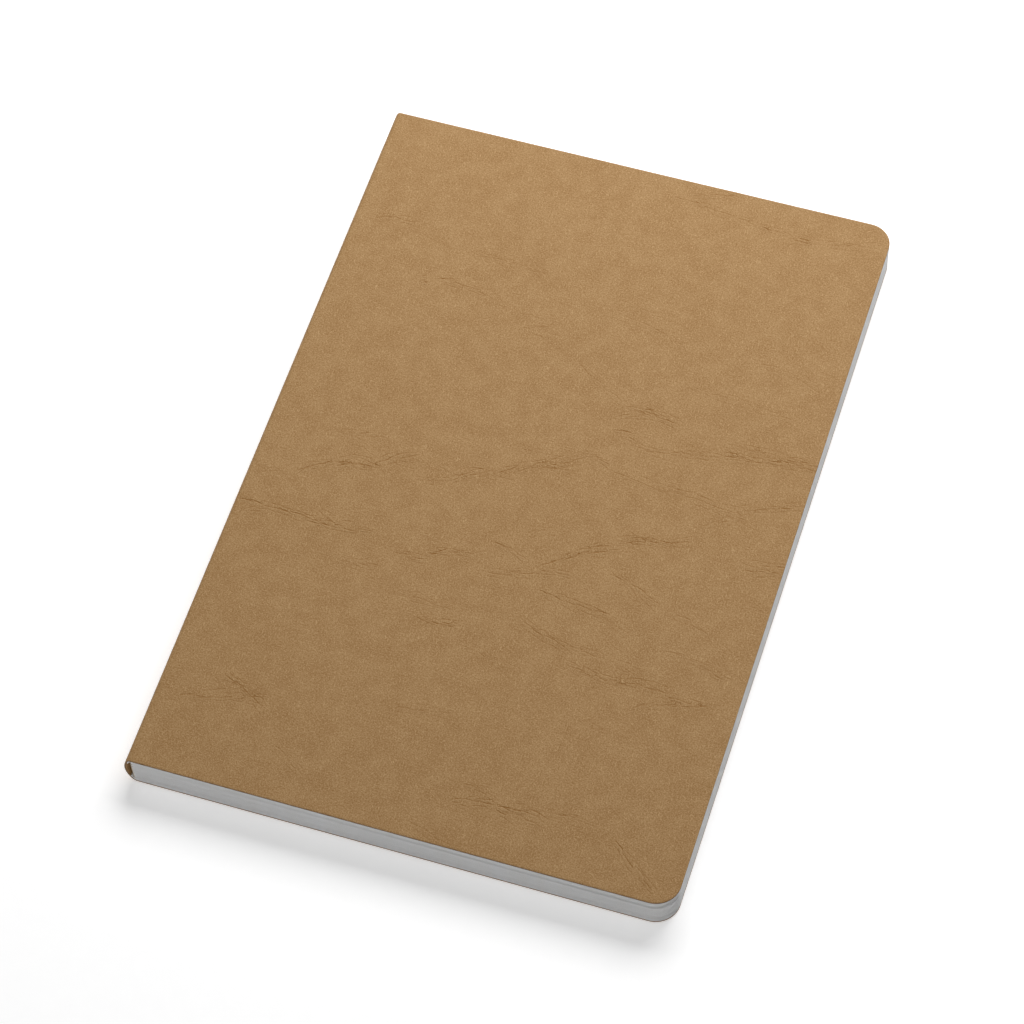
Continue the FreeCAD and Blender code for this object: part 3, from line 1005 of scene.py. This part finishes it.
SIGNATURES = 8
SHEETS = 4
LEAF_CORNER_STEPS = 14     # rows of points round a leaf's corner
LEAF_SPACING = 6 * MM      # between the rows of points across a turning leaf
ONE_SPAN = 200 * MM        # a spacing wider than a leaf, for a panel without rows inside
LEAF_SHAVE = 0.005 * MM    # taken off each face, so that neighbours don't touch
LEAST_TRIM = 0.01 * MM     # how far inside the card's outline the longest leaf is trimmed

# Places of the points from tail to head: close together where the tail corner stands open.
PAPER_COLUMNS = np.concatenate([np.linspace(-1, -0.64, 13), np.linspace(-0.55, 1, 7)])


def signature_places(sizes):
    """Fold line (across, up) of each signature, by number, and half of a closed signature's height."""
    low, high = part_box("signature_2_sheet_1")
    half = (high.z - low.z) / 2
    places = {}
    for number in range(2, SIGNATURES):
        low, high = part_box("signature_%d_sheet_1" % number)
        places[number] = (low.x + half, (low.z + high.z) / 2)
    for number, joint in ((1, "front_leaf_1_turn"), (SIGNATURES, "rear_leaf_1_turn")):
        x, _, z = joint_places[joint]
        places[number] = (x, z)
    return places, half


def made_once(name, make, tone):
    """The material of that name, made only if it isn't there yet."""
    return bpy.data.materials.get(name) or make(name, tone)


class SignaturePaper:
    """What the sheets of every signature share."""

    def __init__(self, context, seed):
        self.book = Book(context.scene.sketchbook_sizes)
        self.sizes = self.book.sizes
        tone = context.scene.sketchbook_colours.paper
        self.materials = [made_once("drawing_paper", paper, tone),
                          made_once("drawing_paper_edge", paper_edge, tone)]
        self.places, self.half = signature_places(self.sizes)
        self.draw = np.random.default_rng(seed)

    def fold_radius(self, sheet):
        """Outer radius of a sheet's fold; sheet 1 is the outermost."""
        return self.half - (sheet - 1) * self.sizes.paper_thickness

    def make(self, name, node, rows, trim, end_is_fore_edge=False):
        piece = leaf_sheet(name, self.book, rows, self.sizes.paper_thickness, PAPER_COLUMNS,
                           self.materials, trim, LEAF_SHAVE, end_is_fore_edge)
        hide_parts(node)
        return piece

    def trim(self):
        return self.draw.uniform(0, 1) ** 2 * self.sizes.trim_scatter + LEAST_TRIM


class SKETCHBOOK_OT_signatures(Operator):
    """Make the folded sheets of the middle signatures and the sewn halves of the outer two."""

    bl_idname = "sketchbook.signatures"
    bl_label = "Sewn signatures"

    def execute(self, context):
        stock = SignaturePaper(context, 5)
        for number in range(2, SIGNATURES):
            for sheet in range(1, SHEETS + 1):
                x, z = stock.places[number]
                radius, trim = stock.fold_radius(sheet), stock.trim()
                panel = panel_rows(stock.book, x, ONE_SPAN, LEAF_CORNER_STEPS, trim)
                section = Section().flat(panel, z + radius, 1.0)
                section.arc((x, z), radius, 90, 270, 18)
                section.flat(panel[::-1], z - radius, -1.0)
                node = "signature_%d_sheet_%d" % (number, sheet)
                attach(stock.make(node + "_paper", node, section.rows(), trim), "text_block")
        for number, side, half in ((1, -1, "rear"), (SIGNATURES, 1, "front")):
            for sheet in range(1, SHEETS + 1):
                x, z = stock.places[number]
                radius, trim = stock.fold_radius(sheet), stock.trim()
                panel = panel_rows(stock.book, x, ONE_SPAN, LEAF_CORNER_STEPS, trim)
                section = Section()
                if side < 0:
                    section.arc((x, z), radius, 225, 270, 6).flat(panel[::-1], z - radius, -1.0)
                else:
                    section.flat(panel, z + radius, 1.0).arc((x, z), radius, 90, 135, 6)
                node = "signature_%d_%s_leaf_%d" % (number, half, sheet)
                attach(stock.make(node + "_paper", node, section.rows(), trim, side < 0), "text_block")
        return {"FINISHED"}


class SKETCHBOOK_OT_turning_leaves(Operator):
    """Make the leaves that turn at the front and the back, each with its share of the fold."""

    bl_idname = "sketchbook.turning_leaves"
    bl_label = "Turning leaves"

    def leaf_rows(self, stock, centre, sheet, side, trim):
        """From the fore-edge to the fold, and round it to the sewn half at 45 degrees past level."""
        x, z = centre
        fold = stock.fold_radius(sheet)
        flat = fold + (SHEETS - sheet) * stock.sizes.leaf_gap
        panel = panel_rows(stock.book, x, LEAF_SPACING, LEAF_CORNER_STEPS, trim)
        section = Section().flat(panel, z + side * flat, float(side))
        steps = 18
        for step in range(1, steps + 1):
            turn = math.radians(90 + 135 * step / steps)
            radius = flat + (fold - flat) * step / steps
            section.add(x + radius * math.cos(turn), z + side * radius * math.sin(turn),
                        math.cos(turn), side * math.sin(turn))
        rows = section.rows()
        return rows if side > 0 else rows[::-1]

    def execute(self, context):
        stock = SignaturePaper(context, 9)
        for number, side, half in ((1, 1, "front"), (SIGNATURES, -1, "rear")):
            for sheet in range(1, SHEETS + 1):
                x, z = stock.places[number]
                trim = stock.trim()
                rows = self.leaf_rows(stock, (x, z), sheet, side, trim)
                node = "signature_%d_%s_leaf_%d" % (number, half, sheet)
                piece = stock.make(node + "_paper", node, rows, trim, side < 0)
                radius = stock.fold_radius(sheet)
                across = radius * math.sqrt(0.5)
                x - across
                z - side * across
                z + side * radius
                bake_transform(piece)
        return {"FINISHED"}


# ---------------------------------------------------------------- sewing, glue and lining

def tube(path, across, through, half_width, half_depth, sides):
    """Points and faces of a flattened round bar along a path, closed at both ends."""
    turns = np.linspace(0, 2 * math.pi, sides, endpoint=False)
    ring = np.outer(np.cos(turns) * half_width, across) + np.outer(np.sin(turns) * half_depth, through)
    points = (np.asarray(path)[:, None, :] + ring[None, :, :]).reshape(-1, 3)
    faces = []
    for row in range(len(path) - 1):
        for side in range(sides):
            a, b = row * sides + side, row * sides + (side + 1) % sides
            faces.append([a, b, b + sides, a + sides])
    last = (len(path) - 1) * sides
    faces.append(list(range(sides))[::-1])
    faces.append([last + side for side in range(sides)])
    return points, faces


THREAD_WIDTH = 0.3 * MM
THREAD_DEPTH = 0.06 * MM       # the thread is pressed flat in its fold
STITCH_SHARES = (0, 0.3, 0.6, 0.85, 0.96)    # of the way from the fold line to the back of the signature


class SKETCHBOOK_OT_sewing(Operator):
    """Make the sewing thread of each signature: two twisted plies, with a stitch in each hole."""

    bl_idname = "sketchbook.sewing"
    bl_label = "Sewing thread"

    twist: length("Twist", "Length of one turn of the plies", 1.6 * MM)
    stations: IntProperty(name="Stations", description="Holes along each fold", default=4, min=2)

    def stitch_turn(self, number):
        """Direction of the stitches: level, or through the sewn half of the outer signatures."""
        return {1: 247.5, SIGNATURES: 112.5}.get(number, 180.0)

    def execute(self, context):
        book = Book(context.scene.sketchbook_sizes)
        material = thread_finish(context.scene.sketchbook_colours)
        places, half = signature_places(book.sizes)
        for number in range(1, SIGNATURES + 1):
            node = "sewing_thread_%d" % number
            low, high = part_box(node)
            x, z = places[number]
            ys = np.linspace(low.y, high.y, int((high.y - low.y) / self.twist * 8))
            points, faces = np.zeros((0, 3)), []
            for ply in range(2):
                phase = 2 * math.pi * ys / self.twist + ply * math.pi
                path = np.stack([x + THREAD_WIDTH / 2 + THREAD_WIDTH * 0.22 * np.cos(phase), ys,
                                 z + THREAD_DEPTH * 0.18 * np.sin(phase)], -1)
                more, quads = tube(path, (1, 0, 0), (0, 0, 1), THREAD_WIDTH * 0.25, THREAD_DEPTH * 0.28, 6)
                faces += [[index + len(points) for index in quad] for quad in quads]
                points = np.concatenate([points, more])
            turn = math.radians(self.stitch_turn(number))
            outward = np.array([math.cos(turn), 0, math.sin(turn)])
            level = np.array([-math.sin(turn), 0, math.cos(turn)])
            for y in np.linspace(low.y + THREAD_WIDTH / 2, high.y - THREAD_WIDTH / 2, self.stations):
                start = np.array([x, y, z]) + outward * 0.01 * MM
                path = [start + outward * half * share for share in STITCH_SHARES]
                more, quads = tube(path, (0, 1, 0), -level, THREAD_WIDTH * 0.45, THREAD_DEPTH * 0.42, 8)
                faces += [[index + len(points) for index in quad] for quad in quads]
                points = np.concatenate([points, more])
            piece = add_object(node + "_plies", points, faces, [material], [0] * len(faces),
                               [True] * len(faces), {"sheet_mm": points / MM})
            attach(piece, "text_block")
            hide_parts(node)
        return {"FINISHED"}


class SKETCHBOOK_OT_spine_back(Operator):
    """Finish the glue film and the woven lining on the backs of the signatures."""

    bl_idname = "sketchbook.spine_back"
    bl_label = "Glue and lining"

    def execute(self, context):
        colours = context.scene.sketchbook_colours
        for node, finish in (("spine_glue", glue_finish), ("spine_lining", lining_finish)):
            carried = frame["nodes"][node]
            material = finish(colours)
            if not carried.material_slots:
                raise RuntimeError(node + " has no material slot")
            for slot in carried.material_slots:
                slot.material = material
        return {"FINISHED"}


# ---------------------------------------------------------------- stage

class SKETCHBOOK_OT_stage(Operator):
    """Set the pale floor, the soft lights and the camera."""

    bl_idname = "sketchbook.stage"
    bl_label = "Stage"

    lens: FloatProperty(name="Lens", description="Focal length", default=132.75, unit="CAMERA")
    horizon: FloatProperty(name="Horizon", description="Light of the room level with the floor", default=0.21)
    zenith: FloatProperty(name="Zenith", description="Light of the room overhead", default=0.56)

    def add_light(self, name, place, aim, size, power):
        light = bpy.data.lights.new(name, "AREA")
        light.shape = "RECTANGLE"
        light.size, light.size_y = size
        light.energy = power
        lamp = bpy.data.objects.new(name, light)
        lamp.location = place
        lamp.rotation_euler = (Vector(aim) - Vector(place)).to_track_quat("-Z", "Y").to_euler()
        bpy.context.scene.collection.objects.link(lamp)

    def add_sky(self, scene):
        """A dim room that is brightest overhead, so that upright faces stay a shade darker."""
        world = bpy.data.worlds.new("studio")
        world.use_nodes = True
        room = Nodes(world.node_tree)
        direction = room.node("TexCoord", {}, {}, "Generated")
        height = room.node("SeparateXYZ", {}, {"Vector": direction}, "Z")
        strength = room.node("MapRange", {}, {"Value": height, "From Min": 0.1, "From Max": 1.0,
                                              "To Min": self.horizon, "To Max": self.zenith})
        room.tree.links.new(strength.socket, room.tree.nodes["Background"].inputs["Strength"])
        scene.world = world

    def add_floor(self, colours):
        reach = 3.0
        level = cad_box[0].z - 0.05 * MM
        corners = np.array([(-reach, -reach, level), (reach, -reach, level),
                            (reach, reach, level), (-reach, reach, level)])
        floor = add_object("floor", corners, [[0, 1, 2, 3]], [floor_finish(colours)], [0], [False], {})

    def add_camera(self, scene):
        camera = bpy.data.objects.new("camera", bpy.data.cameras.new("camera"))
        camera.data.lens = self.lens
        camera.data.sensor_width = 36
        camera.data.clip_start = 0.05
        place = Vector((0.17265, -0.49337, 0.82205))
        aim = Vector((-0.00155, -0.00622, 0.005))
        roll = Matrix.Rotation(math.radians(-2.475), 4, "Z")
        turn = (aim - place).to_track_quat("-Z", "Y").to_matrix().to_4x4() @ roll
        camera.matrix_world = Matrix.Translation(place) @ turn
        scene.collection.objects.link(camera)
        scene.camera = camera

    def execute(self, context):
        scene = context.scene
        self.add_floor(scene.sketchbook_colours)
        self.add_light("head_softbox", (0.03, 0.56, 0.60), (0.0, 0.05, 0.0), (0.8, 0.5), 8.2)
        self.add_light("tail_softbox", (-0.15, -1.0, 0.24), (0.0, 0.0, 0.0), (1.2, 0.3), 1.7)
        self.add_sky(scene)
        scene.view_settings.view_transform = "Standard"
        self.add_camera(scene)
        return {"FINISHED"}


# ---------------------------------------------------------------- panel and order of work

STEPS = ("cover", "endpapers", "signatures", "turning_leaves", "sewing", "spine_back", "stage")


class SKETCHBOOK_PT_panel(Panel):
    """The sketchbook's steps, in the order that they are made."""

    bl_label = "Sketchbook"
    bl_idname = "SKETCHBOOK_PT_panel"
    bl_space_type = "VIEW_3D"
    bl_region_type = "UI"
    bl_category = "Sketchbook"

    def draw(self, context):
        for step in STEPS:
            self.layout.operator("sketchbook." + step)
        for group in (context.scene.sketchbook_sizes, context.scene.sketchbook_colours):
            box = self.layout.box()
            for name in group.__annotations__:
                box.prop(group, name)


CLASSES = (
    SketchbookSizes, SketchbookColours, SKETCHBOOK_OT_cover, SKETCHBOOK_OT_endpapers,
    SKETCHBOOK_OT_signatures, SKETCHBOOK_OT_turning_leaves, SKETCHBOOK_OT_sewing,
    SKETCHBOOK_OT_spine_back, SKETCHBOOK_OT_stage, SKETCHBOOK_PT_panel,
)


def register():
    for part in CLASSES:
        bpy.utils.register_class(part)
    bpy.types.Scene.sketchbook_sizes = PointerProperty(type=SketchbookSizes)
    bpy.types.Scene.sketchbook_colours = PointerProperty(type=SketchbookColours)


def unregister():
    del bpy.types.Scene.sketchbook_sizes
    del bpy.types.Scene.sketchbook_colours
    for part in reversed(CLASSES):
        bpy.utils.unregister_class(part)


def main():
    register()
    for step in STEPS:
        getattr(bpy.ops.sketchbook, step)()


if __name__ == "__main__":
    main()
